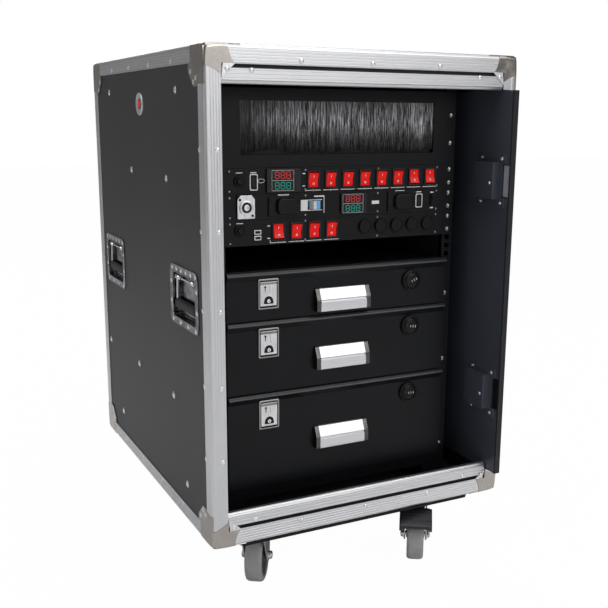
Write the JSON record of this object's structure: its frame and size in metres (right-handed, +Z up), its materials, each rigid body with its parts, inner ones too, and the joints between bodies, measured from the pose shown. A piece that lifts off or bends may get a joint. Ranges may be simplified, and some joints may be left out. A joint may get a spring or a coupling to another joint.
{
  "type": "rolling equipment rack case",
  "caption": "Upright black flight case with aluminium edges, rack power units, three drawers and swivel casters, its front door slid back.",
  "frame": {"origin": "middle of the floor rectangle under the whole case, at the floor", "axes": "+Z up, -Y out of the open front, +X to the right as seen from the front"},
  "size_m": [0.6056, 0.7833, 0.9688],
  "materials": {
    "laminate": "fine pebbled black laminate on plywood",
    "aluminium": "satin extruded, lengthwise ribs",
    "pressed_steel": "nickel-plated pressed steel",
    "zinc": "zinc-plated steel",
    "chrome": "bright",
    "black_paint": "satin black powder coat",
    "black_plastic": "moulded",
    "rubber": "matt",
    "tyre": "grey tread",
    "bristle": "long dark bristles",
    "red_rocker": "translucent red",
    "blue_toggle": "moulded blue"
  },
  "bodies": {
    "case": {"rack_frame": "black_paint", "brush_panel": "black_paint", "brush_strip": "bristle", "power_unit_1": "black_paint", "power_unit_2": "black_paint", "power_unit_3": "black_paint", "drawer_housing_1": "black_paint", "drawer_housing_2": "black_paint", "drawer_housing_3": "black_paint", "left_panel": "laminate", "right_panel": "laminate", "top_panel": "laminate", "bottom_panel": "laminate", "front_frame": "aluminium", "shell_frame": "aluminium", "rear_hinge_leaf": "zinc", "handle_dish_left_front": "pressed_steel", "handle_dish_left_rear": "pressed_steel", "handle_dish_right_front": "pressed_steel", "handle_dish_right_rear": "pressed_steel", "caster_board": "laminate"},
    "rear_door": {"rear_door": "laminate"},
    "rear_latch_lower": {"rear_latch_wing_lower": "zinc"},
    "rear_latch_upper": {"rear_latch_wing_upper": "zinc"},
    "handle_left_front": {"handle_bail_left_front": "rubber"},
    "handle_left_rear": {"handle_bail_left_rear": "rubber"},
    "handle_right_front": {"handle_bail_right_front": "rubber"},
    "handle_right_rear": {"handle_bail_right_rear": "rubber"},
    "caster_front_left": {"caster_fork_front_left": "zinc"},
    "wheel_front_left": {"caster_wheel_front_left": "tyre"},
    "pedal_front_left": {"brake_pedal_front_left": "black_plastic"},
    "caster_front_right": {"caster_fork_front_right": "zinc"},
    "wheel_front_right": {"caster_wheel_front_right": "tyre"},
    "pedal_front_right": {"brake_pedal_front_right": "black_plastic"},
    "caster_rear_left": {"caster_fork_rear_left": "zinc"},
    "wheel_rear_left": {"caster_wheel_rear_left": "tyre"},
    "caster_rear_right": {"caster_fork_rear_right": "zinc"},
    "wheel_rear_right": {"caster_wheel_rear_right": "tyre"},
    "power_unit_1_rocker_1": {"power_unit_1_rocker_1": "red_rocker"},
    "power_unit_1_rocker_2": {"power_unit_1_rocker_2": "red_rocker"},
    "power_unit_1_rocker_3": {"power_unit_1_rocker_3": "red_rocker"},
    "power_unit_1_rocker_4": {"power_unit_1_rocker_4": "red_rocker"},
    "power_unit_1_rocker_5": {"power_unit_1_rocker_5": "red_rocker"},
    "power_unit_1_rocker_6": {"power_unit_1_rocker_6": "red_rocker"},
    "power_unit_1_rocker_7": {"power_unit_1_rocker_7": "red_rocker"},
    "power_unit_1_rocker_8": {"power_unit_1_rocker_8": "red_rocker"},
    "power_unit_3_rocker_1": {"power_unit_3_rocker_1": "red_rocker"},
    "power_unit_3_rocker_2": {"power_unit_3_rocker_2": "red_rocker"},
    "power_unit_3_rocker_3": {"power_unit_3_rocker_3": "red_rocker"},
    "power_unit_3_rocker_4": {"power_unit_3_rocker_4": "red_rocker"},
    "power_unit_2_breaker": {"power_unit_2_breaker": "blue_toggle"},
    "power_unit_1_reset": {"power_unit_1_reset": "black_plastic"},
    "power_unit_3_reset": {"power_unit_3_reset": "black_plastic"},
    "drawer_1": {"drawer_1": "black_paint"},
    "drawer_latch_1": {"drawer_latch_1": "chrome"},
    "drawer_2": {"drawer_2": "black_paint"},
    "drawer_latch_2": {"drawer_latch_2": "chrome"},
    "drawer_3": {"drawer_3": "black_paint"},
    "drawer_latch_3": {"drawer_latch_3": "chrome"},
    "pocket_door": {"pocket_door": "laminate"}
  },
  "joints": [
    {"name": "rear_door_joint", "type": "hinge", "parent": "case", "child": "rear_door", "pos_m": [0.2723, 0.36512, 0.5465], "axis": [0, 0, -1], "range_deg": [0, 110]},
    {"name": "rear_latch_lower_joint", "type": "hinge", "parent": "rear_door", "child": "rear_latch_lower", "pos_m": [-0.241, 0.36162, 0.4405], "axis": [0, 1, 0], "range_deg": [0, 180]},
    {"name": "rear_latch_upper_joint", "type": "hinge", "parent": "rear_door", "child": "rear_latch_upper", "pos_m": [-0.241, 0.36162, 0.6525], "axis": [0, 1, 0], "range_deg": [0, 180]},
    {"name": "pocket_door_joint", "type": "slide", "parent": "case", "child": "pocket_door", "axis": [0, -1, 0], "range_m": [0, 0.5]},
    {"name": "drawer_1_joint", "type": "slide", "parent": "case", "child": "drawer_1", "axis": [0, -1, 0], "range_m": [0, 0.35]},
    {"name": "drawer_2_joint", "type": "slide", "parent": "case", "child": "drawer_2", "axis": [0, -1, 0], "range_m": [0, 0.35]},
    {"name": "drawer_3_joint", "type": "slide", "parent": "case", "child": "drawer_3", "axis": [0, -1, 0], "range_m": [0, 0.35]},
    {"name": "drawer_latch_1_joint", "type": "hinge", "parent": "drawer_1", "child": "drawer_latch_1", "pos_m": [-0.1638, -0.28458, 0.5735], "axis": [-1, 0, 0], "range_deg": [0, 45], "stiffness_Nm_per_rad": 0.02},
    {"name": "drawer_latch_2_joint", "type": "hinge", "parent": "drawer_2", "child": "drawer_latch_2", "pos_m": [-0.1638, -0.28458, 0.4846], "axis": [-1, 0, 0], "range_deg": [0, 45], "stiffness_Nm_per_rad": 0.02},
    {"name": "drawer_latch_3_joint", "type": "hinge", "parent": "drawer_3", "child": "drawer_latch_3", "pos_m": [-0.1638, -0.28458, 0.35125], "axis": [-1, 0, 0], "range_deg": [0, 45], "stiffness_Nm_per_rad": 0.02},
    {"name": "handle_left_front_joint", "type": "hinge", "parent": "case", "child": "handle_left_front", "pos_m": [-0.295, -0.23138, 0.577], "axis": [0, 1, 0], "range_deg": [0, 90], "stiffness_Nm_per_rad": 0.05},
    {"name": "handle_left_rear_joint", "type": "hinge", "parent": "case", "child": "handle_left_rear", "pos_m": [-0.295, 0.23462, 0.577], "axis": [0, 1, 0], "range_deg": [0, 90], "stiffness_Nm_per_rad": 0.05},
    {"name": "handle_right_front_joint", "type": "hinge", "parent": "case", "child": "handle_right_front", "pos_m": [0.295, -0.23138, 0.577], "axis": [0, -1, 0], "range_deg": [0, 90], "stiffness_Nm_per_rad": 0.05},
    {"name": "handle_right_rear_joint", "type": "hinge", "parent": "case", "child": "handle_right_rear", "pos_m": [0.295, 0.23462, 0.577], "axis": [0, -1, 0], "range_deg": [0, 90], "stiffness_Nm_per_rad": 0.05},
    {"name": "caster_front_left_joint", "type": "hinge", "parent": "case", "child": "caster_front_left", "pos_m": [-0.201, -0.29538, 0.085], "axis": [0, 0, 1], "continuous": true},
    {"name": "caster_front_right_joint", "type": "hinge", "parent": "case", "child": "caster_front_right", "pos_m": [0.153, -0.29538, 0.085], "axis": [0, 0, 1], "continuous": true},
    {"name": "caster_rear_left_joint", "type": "hinge", "parent": "case", "child": "caster_rear_left", "pos_m": [-0.201, 0.30662, 0.085], "axis": [0, 0, 1], "continuous": true},
    {"name": "caster_rear_right_joint", "type": "hinge", "parent": "case", "child": "caster_rear_right", "pos_m": [0.158, 0.30662, 0.085], "axis": [0, 0, 1], "continuous": true},
    {"name": "wheel_front_left_joint", "type": "hinge", "parent": "caster_front_left", "child": "wheel_front_left", "pos_m": [-0.18194, -0.26603, 0.05], "axis": [-0.8387, 0.5446, 0], "continuous": true},
    {"name": "wheel_front_right_joint", "type": "hinge", "parent": "caster_front_right", "child": "wheel_front_right", "pos_m": [0.13394, -0.32473, 0.05], "axis": [0.8387, -0.5446, 0], "continuous": true},
    {"name": "wheel_rear_left_joint", "type": "hinge", "parent": "caster_rear_left", "child": "wheel_rear_left", "pos_m": [-0.18903, 0.33951, 0.05], "axis": [-0.9397, 0.342, 0], "continuous": true},
    {"name": "wheel_rear_right_joint", "type": "hinge", "parent": "caster_rear_right", "child": "wheel_rear_right", "pos_m": [0.18667, 0.3267, 0.05], "axis": [-0.5736, 0.8192, 0], "continuous": true},
    {"name": "pedal_front_left_joint", "type": "hinge", "parent": "caster_front_left", "child": "pedal_front_left", "pos_m": [-0.18902, -0.27693, 0.106], "axis": [-0.8387, 0.5446, 0], "range_deg": [0, 8]},
    {"name": "pedal_front_right_joint", "type": "hinge", "parent": "caster_front_right", "child": "pedal_front_right", "pos_m": [0.14102, -0.31383, 0.106], "axis": [0.8387, -0.5446, 0], "range_deg": [0, 8]},
    {"name": "power_unit_2_breaker_joint", "type": "hinge", "parent": "case", "child": "power_unit_2_breaker", "pos_m": [-0.0738, -0.27338, 0.70498], "axis": [0, 0, -1], "range_deg": [0, 36]},
    {"name": "power_unit_1_reset_joint", "type": "slide", "parent": "case", "child": "power_unit_1_reset", "axis": [0, 1, 0], "range_m": [0, 0.003], "stiffness_N_per_m": 300},
    {"name": "power_unit_3_reset_joint", "type": "slide", "parent": "case", "child": "power_unit_3_reset", "axis": [0, 1, 0], "range_m": [0, 0.003], "stiffness_N_per_m": 300},
    {"name": "power_unit_1_rocker_1_joint", "type": "hinge", "parent": "case", "child": "power_unit_1_rocker_1", "pos_m": [-0.0733, -0.27338, 0.74943], "axis": [-1, 0, 0], "range_deg": [0, 16]},
    {"name": "power_unit_1_rocker_2_joint", "type": "hinge", "parent": "case", "child": "power_unit_1_rocker_2", "pos_m": [-0.0383, -0.27338, 0.74943], "axis": [-1, 0, 0], "range_deg": [0, 16]},
    {"name": "power_unit_1_rocker_3_joint", "type": "hinge", "parent": "case", "child": "power_unit_1_rocker_3", "pos_m": [-0.0033, -0.27338, 0.74943], "axis": [-1, 0, 0], "range_deg": [0, 16]},
    {"name": "power_unit_1_rocker_4_joint", "type": "hinge", "parent": "case", "child": "power_unit_1_rocker_4", "pos_m": [0.0317, -0.27338, 0.74943], "axis": [-1, 0, 0], "range_deg": [0, 16]},
    {"name": "power_unit_1_rocker_5_joint", "type": "hinge", "parent": "case", "child": "power_unit_1_rocker_5", "pos_m": [0.0667, -0.27338, 0.74943], "axis": [-1, 0, 0], "range_deg": [0, 16]},
    {"name": "power_unit_1_rocker_6_joint", "type": "hinge", "parent": "case", "child": "power_unit_1_rocker_6", "pos_m": [0.1017, -0.27338, 0.74943], "axis": [-1, 0, 0], "range_deg": [0, 16]},
    {"name": "power_unit_1_rocker_7_joint", "type": "hinge", "parent": "case", "child": "power_unit_1_rocker_7", "pos_m": [0.1367, -0.27338, 0.74943], "axis": [1, 0, 0], "range_deg": [0, 16]},
    {"name": "power_unit_1_rocker_8_joint", "type": "hinge", "parent": "case", "child": "power_unit_1_rocker_8", "pos_m": [0.1717, -0.27338, 0.74943], "axis": [1, 0, 0], "range_deg": [0, 16]},
    {"name": "power_unit_3_rocker_1_joint", "type": "hinge", "parent": "case", "child": "power_unit_3_rocker_1", "pos_m": [-0.1408, -0.27338, 0.66053], "axis": [1, 0, 0], "range_deg": [0, 16]},
    {"name": "power_unit_3_rocker_2_joint", "type": "hinge", "parent": "case", "child": "power_unit_3_rocker_2", "pos_m": [-0.1058, -0.27338, 0.66053], "axis": [-1, 0, 0], "range_deg": [0, 16]},
    {"name": "power_unit_3_rocker_3_joint", "type": "hinge", "parent": "case", "child": "power_unit_3_rocker_3", "pos_m": [-0.0708, -0.27338, 0.66053], "axis": [-1, 0, 0], "range_deg": [0, 16]},
    {"name": "power_unit_3_rocker_4_joint", "type": "hinge", "parent": "case", "child": "power_unit_3_rocker_4", "pos_m": [-0.0358, -0.27338, 0.66053], "axis": [-1, 0, 0], "range_deg": [0, 16]}
  ]
}
